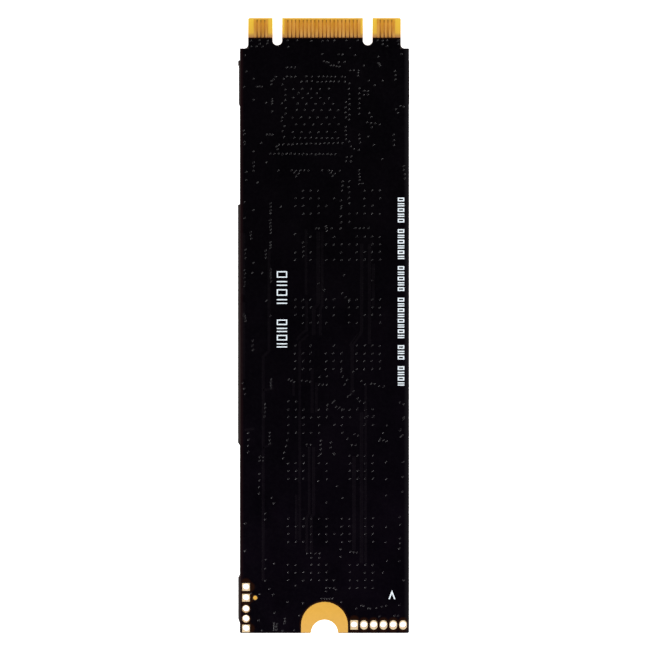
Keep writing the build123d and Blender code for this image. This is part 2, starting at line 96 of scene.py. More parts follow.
class Graph:
    """One node material, built node by node."""

    def __init__(self, name):
        self.material = bpy.data.materials.new(name)
        self.material.use_nodes = True
        self.tree = self.material.node_tree
        self.shader = self.tree.nodes["Principled BSDF"]

    def add(self, kind, inputs=None, **settings):
        node = self.tree.nodes.new(kind)
        for key, value in settings.items():
            setattr(node, key, value)
        for key, value in (inputs or {}).items():
            self.feed(node.inputs[key], value)
        return node

    def feed(self, socket, value):
        if isinstance(value, bpy.types.NodeSocket):
            self.tree.links.new(value, socket)
        else:
            socket.default_value = value

    def set(self, **inputs):
        """Feeds the shader's sockets. A word with underscores names a socket with spaces."""
        for key, value in inputs.items():
            self.feed(self.shader.inputs[key.replace("_", " ")], value)

    def place(self, scale=(1, 1, 1)):
        """The point on the object in millimetres, times scale."""
        point = self.add("ShaderNodeTexCoord").outputs["Object"]
        grow = tuple(s / MM for s in scale)
        return self.add("ShaderNodeMapping", {"Vector": point, "Scale": grow}).outputs["Vector"]

    def axis(self, letter):
        split = self.add("ShaderNodeSeparateXYZ", {"Vector": self.place()})
        return split.outputs[letter]

    def noise(self, scale, detail=3.0, stretch=(1, 1, 1), roughness=0.5):
        inputs = {"Vector": self.place(stretch), "Scale": scale, "Detail": detail}
        inputs["Roughness"] = roughness
        return self.add("ShaderNodeTexNoise", inputs).outputs["Fac"]

    def ramp(self, value, *stops):
        """Colours or greys along value; each stop is a position and a colour or a number."""
        node = self.add("ShaderNodeValToRGB", {"Fac": value})
        points = node.color_ramp.elements
        while len(points) < len(stops):
            points.new(0.5)
        for point, (position, tone) in zip(points, stops):
            point.position = position
            point.color = (*tone, 1) if isinstance(tone, tuple) else (tone, tone, tone, 1)
        return node.outputs["Color"]

    def math(self, operation, *values):
        node = self.add("ShaderNodeMath", operation=operation)
        for socket, value in zip(node.inputs, values):
            self.feed(socket, value)
        return node.outputs["Value"]

    def span(self, value, low, high, to_low=0.0, to_high=1.0):
        inputs = {"Value": value, "From Min": low, "From Max": high}
        inputs.update({"To Min": to_low, "To Max": to_high})
        return self.add("ShaderNodeMapRange", inputs).outputs["Result"]

    def mix(self, share, first, second, blend="MIX"):
        node = self.add("ShaderNodeMix", data_type="RGBA", blend_type=blend)
        self.feed(node.inputs[0], share)
        for socket, tone in ((node.inputs[6], first), (node.inputs[7], second)):
            self.feed(socket, (*tone, 1) if isinstance(tone, tuple) else tone)
        return node.outputs[2]

    def nearest(self, points):
        """How far the surface is from the nearest of some points, in millimetres."""
        place = self.place()
        least = None
        for point in points:
            spot = tuple(c / MM for c in point)
            reach = self.add("ShaderNodeVectorMath", {0: place, 1: spot}, operation="DISTANCE")
            reach = reach.outputs["Value"]
            least = reach if least is None else self.math("MINIMUM", least, reach)
        return least

    def bump(self, height, strength, depth_mm):
        inputs = {"Height": height, "Strength": strength, "Distance": depth_mm * MM}
        self.set(Normal=self.add("ShaderNodeBump", inputs).outputs["Normal"])


# Lacquer, with lengths in millimetres
MASK_THINS_OVER = 0.2  # how much of it thins out beside a large opening
MASK_OPENING_GAP = 0.06  # between the notch pad and the lacquer
NOTCH_PAD_R = 3.04
NOTCH_PAD_RISE = 1.02
HEADER_RIM = (0.5, 0.74)  # from a plated hole's middle, where its thin rim is fullest and ends
HEADER_RIM_SHARE = 0.55
THIN_MASK = (0.022, 0.006, 0.0010)
LEFT_EDGE_MASK = (0.014, 0.0045, 0.005)
LEFT_EDGE_X = (-11.0, -10.5)  # where its tint is full, and where it ends
RIGHT_EDGE_HIGHLIGHT = (0.012, 0.011, 0.013)
RIGHT_EDGE_X = (10.3, 11.0)  # where its painted highlight starts, and where it is full
EDGE_TINT_SHARE = 0.8
NOTCH_END_CAST = (1.8, 1.6, 1.95)  # how much lighter and more violet the lacquer is at that end
NOTCH_END_Y = (12.0, -34.0)  # where that cast starts, and where it is full


def solder_mask(name, dark, light, roughness):
    """Glossy black lacquer, faintly clouded, warmer where it thins out at openings and at the left
    edge, with a painted highlight along the right edge.
    """
    g = Graph(name)
    tone = g.ramp(g.noise(0.22, 4.0), (0.3, dark), (0.75, light))
    tone = g.mix(g.span(g.axis("Y"), *NOTCH_END_Y), tone, NOTCH_END_CAST, "MULTIPLY")
    x = g.axis("X")
    tone = g.mix(g.span(x, *LEFT_EDGE_X, EDGE_TINT_SHARE, 0.0), tone, LEFT_EDGE_MASK)
    # Painted highlight: a lighter grey band along the right edge, where the light falls
    tone = g.mix(g.span(x, *RIGHT_EDGE_X, 0.0, EDGE_TINT_SHARE), tone, RIGHT_EDGE_HIGHLIGHT)
    mask_end = CONTACT_LOW_Y / MM
    thin = g.span(g.axis("Y"), mask_end - MASK_THINS_OVER, mask_end)
    pad_middle = (0.0, END_Y + NOTCH_PAD_RISE * MM, BACK_FACE_Z)
    from_pad = g.math("SUBTRACT", g.nearest([pad_middle]), NOTCH_PAD_R)
    rim = g.span(from_pad, MASK_OPENING_GAP, MASK_OPENING_GAP + MASK_THINS_OVER, 1.0, 0.0)
    bare_side = g.math("GREATER_THAN", g.axis("Z"), (FRONT_FACE_Z + BACK_FACE_Z) / 2 / MM)
    thin = g.math("MAXIMUM", thin, g.math("MULTIPLY", rim, bare_side))
    from_hole = g.nearest(header_holes())
    thin = g.math("MAXIMUM", thin, g.span(from_hole, *HEADER_RIM, HEADER_RIM_SHARE, 0.0))
    tone = g.mix(thin, tone, THIN_MASK)
    g.set(Base_Color=tone)
    grain = g.noise(2.6, 3.0)
    g.set(Roughness=g.span(grain, 0.25, 0.75, roughness - 0.03, roughness + 0.05))
    g.set(Specular_IOR_Level=0.35)
    g.bump(g.noise(1.3, 2.0), 0.04, 0.01)
    return g.material


# Where bare laminate shows between contacts: the middle and half width of each group, mm
CONTACT_GROUPS = ((-8.25, 0.93), (-0.25, 4.93), (8.0, 1.18))
TAB_TONE_OVERLAP = 0.02  # mm that the tab's colours reach under the lacquer


def laminate():
    """Glass-epoxy board: a painted glow of the light that comes through the bare tab, painted shade
    between its contacts, and the cut edge shows its plies.
    """
    g = Graph("laminate")
    y = g.axis("Y")
    x = g.axis("X")
    along = g.span(y, CONTACT_LOW_Y / MM, TIP_Y / MM)
    # Painted light: the tab's own pale yellow brightened as if lit through from behind, darker towards
    # the lacquer, paler at the very tip as a painted highlight on the bevel
    margin_glow = g.ramp(
        along,
        (0.0, (0.34, 0.15, 0.05)),
        (0.12, (0.44, 0.23, 0.045)),
        (0.24, (0.64, 0.37, 0.036)),
        (0.6, (0.69, 0.415, 0.031)),
        (0.93, (0.72, 0.45, 0.034)),
        (1.0, (0.82, 0.56, 0.16)),
    )
    # Painted shade in the narrow gaps between contacts, darkest near the lacquer and in small spots
    # near the contact tips
    gap_shade = g.ramp(
        along,
        (0.0, (0.03, 0.008, 0.002)),
        (0.1, (0.13, 0.036, 0.003)),
        (0.35, (0.37, 0.135, 0.009)),
        (0.7, (0.50, 0.19, 0.012)),
        (0.86, (0.20, 0.085, 0.002)),
        (0.925, (0.70, 0.41, 0.03)),
        (1.0, (0.82, 0.56, 0.16)),
    )
    between = 0.0
    for middle, half in CONTACT_GROUPS:
        between = g.math("MAXIMUM", between, g.math("COMPARE", x, middle, half))
    tab_glow_and_shade = g.mix(between, margin_glow, gap_shade)
    plies = g.add(
        "ShaderNodeTexWave",
        {"Vector": g.place(), "Scale": 1.9, "Distortion": 1.2, "Detail": 2.0},
        wave_type="BANDS",
        bands_direction="Z",
    ).outputs["Fac"]
    body = g.ramp(plies, (0.2, (0.006, 0.0022, 0.0024)), (0.8, (0.016, 0.008, 0.007)))
    on_tab = g.math("GREATER_THAN", y, CONTACT_LOW_Y / MM - TAB_TONE_OVERLAP)
    g.set(Base_Color=g.mix(on_tab, body, tab_glow_and_shade))
    g.set(Roughness=g.span(g.noise(5.0, 3.0), 0.3, 0.7, 0.42, 0.6))
    g.set(Specular_IOR_Level=0.3)
    g.bump(g.noise(9.0, 3.0), 0.15, 0.01)
    return g.material


def contact_gold():
    """Hard gold: paler just short of the mask and darkest right at its edge as a painted shade line,
    with fine rub marks along the card.
    """
    g = Graph("contact_gold")
    along = g.span(g.axis("Y"), CONTACT_LOW_Y / MM, CONTACT_HIGH_Y / MM)
    # The first stop is painted shade along the lacquer's edge; the rest is the gold's tone along the
    # contact
    tone = g.ramp(
        along,
        (0.0, (0.42, 0.17, 0.035)),
        (0.12, (0.60, 0.28, 0.05)),
        (0.3, (0.62, 0.28, 0.030)),
        (0.6, (0.67, 0.285, 0.019)),
        (1.0, (0.76, 0.345, 0.013)),
    )
    rubs = g.noise(5.0, 4.0, (1, 0.12, 1))
    spots = g.noise(0.9, 2.0)
    worn = g.mix(g.span(rubs, 0.4, 0.8, 0.0, 0.3), tone, (0.85, 0.55, 0.22))
    g.set(Base_Color=g.mix(g.span(spots, 0.4, 0.7, 0.0, 0.3), worn, (0.56, 0.23, 0.02)))
    g.set(Metallic=0.6)
    g.set(Roughness=g.span(rubs, 0.3, 0.8, 0.42, 0.58))
    g.bump(rubs, 0.15, 0.01)
    return g.material


PALE_END_OVER = 3.0  # mm from the end edge over which the notch pad turns paler
PALE_END_SHARE = 0.7


def pad_gold():
    """Thin immersion gold: even, satin, with a faint mottle."""
    g = Graph("pad_gold")
    tone = g.ramp(g.noise(1.4, 4.0), (0.3, (0.83, 0.455, 0.066)), (0.7, (0.86, 0.475, 0.074)))
    end_y = END_Y / MM
    pale = g.span(g.axis("Y"), end_y, end_y + PALE_END_OVER, PALE_END_SHARE, 0.0)
    g.set(Base_Color=g.mix(pale, tone, (0.83, 0.48, 0.12)))
    g.set(Metallic=0.6)
    g.set(Roughness=g.span(g.noise(6.0, 3.0), 0.3, 0.7, 0.46, 0.56))
    g.bump(g.noise(11.0, 2.0), 0.08, 0.008)
    return g.material


EYELET_GLOW_SHIFT = 0.05 * MM  # the painted glow ring sits a little towards the connector end
EYELET_WOBBLE = 0.05  # mm that the ring's edge wanders
EYELET_GLOW_RING = (0.36, 0.68)  # mm from the hole's middle, where the painted glow is fullest and where it ends


def eyelet_gold():
    """Plated header holes: gold with a painted glow that pales to cream round the mouth of each hole,
    as if lit up through it.
    """
    g = Graph("eyelet_gold")
    out = g.nearest([(x, y + EYELET_GLOW_SHIFT, z) for x, y, z in header_holes()])
    wobble = g.span(g.noise(2.2, 2.0), 0.0, 1.0, -EYELET_WOBBLE, EYELET_WOBBLE)
    out = g.math("ADD", out, wobble)
    # Painted light: cream where light from below would shine up through the hole, fading to the gold's
    # own tone
    tone = g.ramp(
        g.span(out, *EYELET_GLOW_RING),
        (0.0, (0.80, 0.62, 0.38)),
        (0.25, (0.70, 0.48, 0.23)),
        (0.6, (0.56, 0.34, 0.125)),
        (1.0, (0.42, 0.22, 0.06)),
    )
    g.set(Base_Color=tone)
    g.set(Metallic=0.35)
    g.set(Roughness=g.span(g.noise(6.0, 3.0), 0.3, 0.7, 0.40, 0.54))
    g.bump(g.noise(9.0, 2.0), 0.1, 0.008)
    return g.material


ROUGHNESS_SWING = 0.06
ROUGHNESS_SCALE = 2.5  # how much finer the roughness varies than the colour
PEEL_SCALE = 6.0


def plain(name, dark, light, scale, roughness, peel=0.2, metallic=0.0):
    """A surface with two close tones, a varied roughness and a fine relief."""
    g = Graph(name)
    g.set(Base_Color=g.ramp(g.noise(scale, 4.0), (0.3, dark), (0.7, light)))
    g.set(Metallic=metallic)
    low, high = roughness - ROUGHNESS_SWING, roughness + ROUGHNESS_SWING
    g.set(Roughness=g.span(g.noise(scale * ROUGHNESS_SCALE, 3.0), 0.3, 0.7, low, high))
    g.bump(g.noise(PEEL_SCALE, 3.0), peel, 0.01)
    return g.material


# The label's print, in millimetres in from its edge or down from its top
LABEL_BORDER_IN = 0.8
LABEL_BORDER_HALF = 0.1
LABEL_BAND_DOWN = 4.0
LABEL_BAND_HALF = 2.2
LABEL_BAND_IN = 1.2
LABEL_INK = (0.10, 0.12, 0.15)


def label_film():
    """White polyester with a printed border and a grey band."""
    g = Graph("label_film")
    low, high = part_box("label")
    tone = g.ramp(g.noise(0.8, 4.0), (0.3, (0.70, 0.70, 0.69)), (0.7, (0.78, 0.78, 0.77)))
    off_x = g.math("ABSOLUTE", g.math("SUBTRACT", g.axis("X"), (high.x + low.x) / 2 / MM))
    off_y = g.math("ABSOLUTE", g.math("SUBTRACT", g.axis("Y"), (high.y + low.y) / 2 / MM))
    from_side = g.math("SUBTRACT", (high.x - low.x) / 2 / MM, off_x)
    from_end = g.math("SUBTRACT", (high.y - low.y) / 2 / MM, off_y)
    inside = g.math("MINIMUM", from_side, from_end)
    border = g.math("COMPARE", inside, LABEL_BORDER_IN, LABEL_BORDER_HALF)
    down = g.math("SUBTRACT", high.y / MM, g.axis("Y"))
    band = g.math("COMPARE", down, LABEL_BAND_DOWN, LABEL_BAND_HALF)
    band = g.math("MULTIPLY", band, g.math("GREATER_THAN", inside, LABEL_BAND_IN))
    g.set(Base_Color=g.mix(g.math("MAXIMUM", border, band), tone, LABEL_INK))
    g.set(Roughness=g.span(g.noise(3.0, 3.0), 0.3, 0.7, 0.38, 0.52))
    g.bump(g.noise(2.0, 2.0), 0.05, 0.01)
    return g.material


def package_laminate():
    """Thin green package carrier with its plies showing at the sawn edge."""
    g = Graph("package_laminate")
    plies = g.add(
        "ShaderNodeTexWave",
        {"Vector": g.place(), "Scale": 4.0, "Distortion": 0.6, "Detail": 1.0},
        wave_type="BANDS",
        bands_direction="Z",
    ).outputs["Fac"]
    g.set(Base_Color=g.ramp(plies, (0.2, (0.03, 0.055, 0.02)), (0.8, (0.10, 0.15, 0.05))))
    g.set(Roughness=g.span(g.noise(4.0), 0.3, 0.7, 0.5, 0.65))
    g.bump(g.noise(8.0), 0.15, 0.01)
    return g.material


# Lacquer over bare board, over via copper and over traces: dark tone, light tone, roughness
MASKS = {
    "solder_mask": ((0.0004, 0.0001, 0.0007), (0.0013, 0.0007, 0.0016), 0.16),
    "mask_over_copper": ((0.0024, 0.0017, 0.0026), (0.004, 0.003, 0.0042), 0.2),
    "mask_over_trace": ((0.0013, 0.0008, 0.0015), (0.0024, 0.0017, 0.0026), 0.18),
}
# Dark tone, light tone, scale of their mottle, roughness, then relief and metal where not usual
PLAIN_FINISHES = {
    "white_ink": ((0.66, 0.74, 0.80), (0.80, 0.86, 0.90), 4.0, 0.6),
    "mould_compound": ((0.012, 0.012, 0.013), (0.022, 0.022, 0.023), 5.0, 0.55, 0.4),
    "solder": ((0.55, 0.56, 0.58), (0.75, 0.76, 0.78), 3.0, 0.35, 0.3, 0.95),
    "laser_mark": ((0.10, 0.10, 0.10), (0.15, 0.15, 0.15), 7.0, 0.7, 0.4),
    "ferrite": ((0.055, 0.055, 0.060), (0.10, 0.10, 0.105), 6.0, 0.7, 0.5),
    "ceramic_base": ((0.42, 0.38, 0.30), (0.52, 0.47, 0.38), 4.0, 0.5),
    "crystal_lid": ((0.60, 0.58, 0.52), (0.74, 0.72, 0.66), 2.0, 0.28, 0.1, 0.95),
    "capacitor_ceramic": ((0.26, 0.15, 0.075), (0.36, 0.22, 0.12), 3.0, 0.42),
    "resistor_glaze": ((0.008, 0.008, 0.009), (0.02, 0.02, 0.022), 4.0, 0.25, 0.1),
    "fuse_ceramic": ((0.60, 0.60, 0.55), (0.70, 0.70, 0.66), 3.0, 0.5),
}
MATERIALS = {
    "laminate": laminate(),
    "contact_gold": contact_gold(),
    "pad_gold": pad_gold(),
    "eyelet_gold": eyelet_gold(),
    "package_laminate": package_laminate(),
    "label_film": label_film(),
    **{name: solder_mask(name, *look) for name, look in MASKS.items()},
    **{name: plain(name, *look) for name, look in PLAIN_FINISHES.items()},
}

# Nodes whose finish differs from their material slot's
FINISHES = {"row_header_eyelets": "eyelet_gold", "side_header_eyelets": "eyelet_gold"}

for subpart in frame["record"]["subparts"]:
    node = subpart["node"]
    finish = FINISHES.get(node, subpart["material_slot"])
    NODES[node].data.materials.clear()
    NODES[node].data.materials.append(MATERIALS[finish])

# ---------------------------------------------------------------- mesh helpers


def piece(name, mesh_builder, material):
    """A new mesh piece, riding on the card."""
    work = bmesh.new()
    mesh_builder(work)
    bmesh.ops.recalc_face_normals(work, faces=work.faces)
    mesh = bpy.data.meshes.new(name)
    work.to_mesh(mesh)
    work.free()
    made = bpy.data.objects.new(name, mesh)
    bpy.context.scene.collection.objects.link(made)
    mesh.materials.append(MATERIALS[material])
    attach(made, "root")
    return made


# ---------------------------------------------------------------- vias and traces on the bare side

VIA_SIDES = 12
# A via's rings, from the outside in: radius and height in millimetres
VIA_PROFILE = ((0.135, 0.0), (0.095, 0.012), (0.055, 0.012), (0.025, 0.004))


def add_via(work, x, from_end, face_z=BACK_FACE_Z, out=1.0, size=1.0):
    """A tented via: a low ring of lacquer with a dimple in its middle, closed underneath."""
    centre_x, centre_y = at(x, from_end)
    rings = []
    for radius, height in VIA_PROFILE:
        ring = []
        for step in range(VIA_SIDES):
            turn = 2 * math.pi * step / VIA_SIDES
            spot = (
                centre_x + radius * size * MM * math.cos(turn),
                centre_y + radius * size * MM * math.sin(turn),
                face_z + out * height * MM,
            )
            ring.append(work.verts.new(spot))
        rings.append(ring)
    for outer, inner in zip(rings, rings[1:]):
        for step in range(VIA_SIDES):
            after = (step + 1) % VIA_SIDES
            work.faces.new((outer[step], outer[after], inner[after], inner[step]))
    work.faces.new(rings[-1])
    work.faces.new(list(reversed(rings[0])))


# The via field under each memory package: how far each row is up from the package's middle,
# then a row of twelve places, where x is a via and a dot is a gap
MEMORY_COLUMNS = 12
MEMORY_FIELDS = {
    "nand_4": (
        (4.5, ".xxx.....xxx"), (3.5, "xxxx.x...x.x"), (2.5, "xx.xx.x..xx."), (1.5, ".xxx...xxxxx"),
        (-1.5, "..x..x..xxxx"), (-2.5, "....xxxxx.xx"), (-3.5, "x.x...x.xxxx"), (-4.5, "x.x.xxxxxxxx"),
    ),
    "nand_3": (
        (4.5, "xxx.xx.xx.xx"), (3.5, "xxx.xx.xx.xx"), (2.5, "xx.x.x.x.xxx"), (1.5, ".xxxx..xx..x"),
        (-1.5, "x.x..x..xxxx"), (-2.5, "xxx.xxx.xxxx"), (-3.5, "xxx.xxx.xxxx"), (-4.5, "xxx.xxx.xxxx"),
    ),
    "nand_2": (
        (5.5, "xx....x....."),
        (4.4, "xxx.xx.xxxxx"), (3.4, "xxxxxx.xx.xx"), (2.4, "x.x.x.xx..xx"), (1.4, "xxxxx..x...."),
        (-1.6, "..x.x...xxxx"), (-2.6, "xxx.xx..x.xx"), (-3.6, "xxx..x..xxxx"), (-4.6, "xxx..x..xxxx"),
    ),
    "nand_1": (
        (4.4, "x.xxxx.xx.xx"), (3.4, "xxxx.x.xx.xx"), (2.4, "x..xxxxxx.xx"), (1.4, "xxxx.x.xx..x"),
        (-1.6, "xx.xxx..xxxx"), (-2.6, "xxxxxx..x.xx"), (-3.6, "x.xxxxx.xxxx"), (-4.6, ".....xx.xxxx"),
    ),
}


def memory_vias():
    """(x, from_end) of each via under the memory packages."""
    for node, rows in MEMORY_FIELDS.items():
        low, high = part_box(f"{node}_mould")
        middle_x = (low.x + high.x) / 2 / MM
        middle_y = ((low.y + high.y) / 2 - END_Y) / MM
        for rise, row in rows:
            for column, mark in enumerate(row):
                if mark == "x":
                    yield middle_x + column - (MEMORY_COLUMNS - 1) / 2, middle_y + rise


# Rows of vias under the controller: x and from_end of the first, the step between, how many
CONTROLLER_ROWS = (
    (-2.4, 72.3, 0.75, 2), (-0.75, 72.3, 0.53, 5), (-3.0, 71.7, 0.65, 3), (-0.9, 71.65, 0.54, 6),
    (-4.06, 70.7, 1.15, 5), (-3.4, 70.15, 1.2, 3), (-4.06, 69.55, 1.16, 5),
    (-3.5, 68.8, 1.15, 5), (-3.65, 67.95, 1.08, 6), (-4.15, 67.0, 1.09, 6),
    (-3.7, 66.1, 1.09, 6), (-4.1, 65.1, 1.1, 6), (-3.9, 64.35, 0.7, 9),
)


def controller_vias():
    """The staggered field under the controller."""
    for x, from_end, step, count in CONTROLLER_ROWS:
        for column in range(count):
            yield x + column * step, from_end


# Single vias beside the straight runs: x and from_end
LONE_VIAS = (
    # tab and top right
    (-1.73, 77.0), (4.34, 77.0), (-4.74, 76.2), (3.35, 76.0), (-0.34, 75.2), (3.9, 75.1),
    (10.0, 75.2), (-10.3, 75.05), (7.0, 74.9), (5.1, 73.7), (5.7, 71.8), (7.5, 71.8), (6.5, 71.2),
    (-10.15, 73.0), (-9.26, 72.0), (-10.5, 71.0), (-6.35, 72.3), (-6.65, 71.9), (-6.9, 71.7),
    (-6.9, 71.3), (-9.26, 69.3), (-7.65, 68.9), (-6.85, 67.8), (6.15, 65.7), (5.65, 64.5),
    (6.45, 63.5), (-8.25, 63.7), (-9.26, 62.6), (-7.6, 61.2), (-8.7, 58.6), (7.5, 61.6),
    (-5.97, 60.1), (-0.3, 60.1), (2.0, 60.1), (4.9, 58.4),
    # beside the upper packages
    (-9.25, 55.0), (-10.4, 56.0), (-10.4, 53.9), (-9.35, 46.8), (-8.1, 46.8), (-9.2, 48.1),
    (-7.56, 43.15), (-7.0, 41.2), (-5.66, 55.4), (-3.8, 51.9), (2.5, 46.5), (6.2, 45.8),
    (-0.04, 44.6), (-0.75, 45.5), (2.2, 53.4), (3.2, 53.4),
    # between the lower packages
    (3.76, 33.97), (3.76, 31.42), (3.4, 31.0), (3.0, 30.8), (4.34, 30.5), (4.6, 30.2), (5.2, 29.96),
    (3.9, 25.86), (4.34, 25.7), (2.15, 33.97), (2.6, 32.3), (6.1, 32.4), (6.5, 32.4), (1.1, 29.96),
    (0.4, 29.7), (1.5, 29.4), (0.83, 24.84), (0.83, 24.1), (1.27, 23.3), (-0.48, 25.0), (-0.48, 24.5),
    (-0.48, 23.9), (-0.48, 23.3), (7.25, 25.3), (7.7, 25.1), (8.15, 24.98), (9.9, 26.4),
    (10.05, 25.7), (10.3, 29.8), (10.3, 27.8),
    # notch end
    (-7.58, 9.6), (-6.55, 9.1), (-7.65, 8.43), (-7.72, 6.8), (-7.15, 5.77), (-6.63, 5.03),
    (-8.4, 5.1), (-9.5, 5.2), (-6.48, 2.7), (-8.5, 1.66), (-8.1, 0.35), (-5.4, 0.35),
    (-3.9, 0.35), (-4.73, 4.1), (-2.75, 3.92), (-3.7, 6.23), (-3.26, 2.3), (0.75, 5.87),
    (1.5, 5.65), (0.3, 5.46), (2.2, 4.07), (9.7, 3.67), (7.2, 2.2), (7.64, 7.9), (8.15, 9.4),
    (9.75, 9.4), (10.3, 6.9), (4.2, 3.24), (6.75, 3.27),
)

# Straight runs of vias: x and from_end of the first, x and from_end of the last, and how many
VIA_RUNS = (
    # fan-out round the controller
    (-5.3, 72.0, -5.45, 71.3, 2), (-5.1, 70.6, -5.1, 69.25, 3), (-5.55, 68.8, -5.05, 68.2, 2),
    (-5.05, 67.5, -5.55, 67.0, 2), (-5.6, 66.55, -5.2, 65.85, 2), (-5.45, 65.2, -5.3, 64.5, 2),
    (-4.9, 73.5, -3.85, 73.5, 3), (-4.9, 72.3, -3.85, 72.3, 3), (-8.8, 71.0, -8.2, 71.0, 3),
    (-0.1, 74.3, 0.5, 74.15, 3), (0.8, 73.8, 1.9, 73.6, 4), (1.8, 74.2, 2.6, 74.2, 2),
    (2.2, 72.3, 2.65, 72.2, 2), (2.6, 71.6, 2.6, 71.6, 1), (3.3, 73.1, 4.35, 73.1, 3),
    (4.35, 72.8, 4.35, 72.4, 2), (7.0, 74.1, 7.2, 73.7, 3), (9.15, 73.0, 9.2, 72.0, 3),
    (3.17, 71.4, 3.17, 66.7, 8), (2.73, 69.0, 2.75, 67.0, 4), (2.7, 65.8, 2.75, 64.2, 4),
    (3.2, 63.9, 3.4, 63.2, 2), (3.8, 62.9, 4.4, 62.8, 2), (4.5, 70.8, 4.5, 67.5, 6),
    (5.1, 70.45, 5.65, 70.45, 2), (5.1, 69.95, 5.65, 69.95, 2), (4.5, 64.8, 4.6, 63.7, 3),
    (-6.85, 69.4, -6.85, 68.8, 3), (-10.5, 65.3, -10.4, 64.9, 2), (-10.5, 63.85, -10.4, 63.5, 2),
    (-7.5, 64.8, -6.8, 64.8, 3), (-9.2, 61.2, -9.2, 60.1, 3), (-6.3, 63.2, -6.1, 62.9, 2),
    (-5.9, 63.5, 2.3, 63.7, 15), (-7.05, 62.3, 1.4, 62.2, 17), (-4.3, 60.1, -2.05, 60.1, 5),
    (0.55, 60.1, 0.95, 60.1, 2), (-3.9, 59.8, -3.4, 59.7, 2), (-3.65, 59.4, -3.65, 59.4, 1),
    (0.8, 59.8, 1.3, 59.7, 2), (1.05, 59.4, 1.05, 59.4, 1), (4.5, 60.1, 4.5, 58.4, 5),
    (2.9, 61.9, 3.45, 61.9, 2), (2.75, 61.3, 3.4, 61.3, 2), (2.3, 58.7, 2.3, 57.5, 3),
    (3.2, 58.7, 3.2, 55.8, 5), (2.15, 56.2, 2.1, 54.2, 3),
    # power supply
    (5.8, 67.6, 6.1, 67.1, 2), (5.5, 66.4, 7.1, 66.1, 4), (9.0, 64.7, 9.0, 63.4, 3),
    (9.3, 68.1, 9.5, 67.6, 2), (9.8, 68.5, 10.3, 68.4, 2), (10.3, 60.7, 10.4, 59.1, 4),
    # tab, just behind the contacts
    (-9.55, 77.0, -7.43, 77.0, 3), (-8.45, 76.6, -7.45, 76.6, 2), (-9.55, 76.25, -8.05, 76.2, 3),
    (-4.8, 77.0, -3.56, 77.0, 2), (-0.27, 77.0, 0.39, 77.0, 2), (1.27, 77.0, 2.8, 77.0, 2),
    (6.9, 77.0, 8.14, 77.0, 3), (9.55, 77.0, 9.6, 76.5, 2), (7.56, 76.5, 8.14, 76.3, 2),
    (1.85, 75.2, 2.3, 75.2, 2),
    # long left edge
    (-10.2, 59.9, -10.2, 58.9, 2), (-7.0, 55.8, -7.0, 54.6, 4), (-7.0, 53.7, -7.0, 52.0, 5),
    (-7.0, 50.8, -7.0, 50.1, 3), (-7.6, 49.7, -7.6, 48.8, 3), (-7.0, 47.25, -7.0, 45.7, 5),
    (-10.3, 49.8, -10.3, 48.8, 3), (-10.4, 47.2, -10.4, 45.1, 5), (-9.55, 52.1, -9.55, 51.3, 3),
    (-10.5, 41.5, -10.2, 40.6, 4), (-9.3, 38.0, -9.3, 36.8, 3), (-10.6, 32.5, -10.3, 31.1, 3),
    (-6.9, 33.0, -6.9, 31.8, 4), (-7.75, 29.8, -7.75, 28.2, 4), (-7.1, 26.1, -7.1, 24.6, 4),
    (-9.9, 26.0, -9.9, 23.5, 4), (-8.4, 22.9, -7.95, 22.9, 2), (-8.4, 22.4, -7.95, 22.4, 2),
    (-8.4, 20.7, -8.5, 18.2, 4), (-6.8, 17.6, -6.6, 16.9, 2), (-7.7, 15.6, -7.7, 14.8, 2),
    (-10.3, 14.3, -10.3, 10.7, 2),
    # right edge
    (9.8, 30.0, 10.3, 28.0, 2), (9.9, 26.5, 9.9, 25.5, 2), (10.2, 22.2, 10.2, 18.4, 3),
    (9.8, 15.1, 9.8, 14.1, 2), (9.8, 12.3, 9.75, 11.0, 3), (8.1, 27.0, 7.1, 25.0, 3),
    (8.0, 22.2, 8.0, 17.9, 3), (8.05, 13.8, 8.0, 11.8, 2),
    # among the memory fields
    (-1.15, 52.6, -0.7, 52.6, 2), (0.2, 52.9, 0.3, 52.3, 3), (0.9, 52.6, 2.1, 52.6, 2),
    (4.05, 52.6, 5.66, 52.6, 4), (-2.8, 50.8, -2.8, 49.0, 4), (2.3, 44.2, 3.2, 43.1, 3),
    (-0.6, 33.3, 0.3, 33.4, 2), (-0.7, 32.3, 0.3, 32.3, 3), (-4.6, 33.0, -3.9, 32.6, 3),
    (-2.9, 32.8, -1.8, 32.7, 3), (2.4, 33.3, 2.9, 32.9, 2), (5.6, 28.2, 6.4, 28.2, 2),
    (4.8, 32.8, 5.3, 32.3, 2), (7.1, 32.1, 7.7, 32.1, 2), (1.9, 29.3, 2.5, 29.1, 2),
    (-2.3, 24.5, -1.8, 24.5, 2),
    (3.6, 24.5, 4.1, 24.5, 2), (-4.8, 25.1, -5.4, 22.7, 4), (1.2, 23.4, 3.0, 25.2, 2),
    (-0.8, 19.8, 1.6, 19.1, 2), (2.4, 17.6, 0.3, 17.0, 2), (-2.2, 10.4, -0.6, 10.4, 4),
    (-1.7, 9.8, -0.6, 9.8, 2), (3.4, 10.6, 4.2, 10.5, 3), (2.15, 10.9, 2.15, 10.0, 2),
    # notch end
    (-0.35, 4.5, 1.1, 4.5, 5), (4.8, 3.6, 5.1, 3.5, 2), (5.7, 3.25, 6.0, 3.2, 2),
    (7.5, 3.5, 8.0, 3.6, 2), (9.15, 2.3, 9.6, 2.3, 2), (-5.1, 1.9, -5.17, 1.26, 3),
    (-6.5, 1.3, -6.5, 0.45, 5), (-6.15, 1.2, -6.15, 0.45, 3),
)


def run_vias():
    """The vias outside the package fields."""
    yield from LONE_VIAS
    for x, from_end, last_x, last_end, count in VIA_RUNS:
        for step in range(count):
            share = step / max(count - 1, 1)
            yield x + (last_x - x) * share, from_end + (last_end - from_end) * share


VIA_DRIFT = 0.04  # mm that a via may lie off its place
VIA_SIZES = (0.9, 1.1)


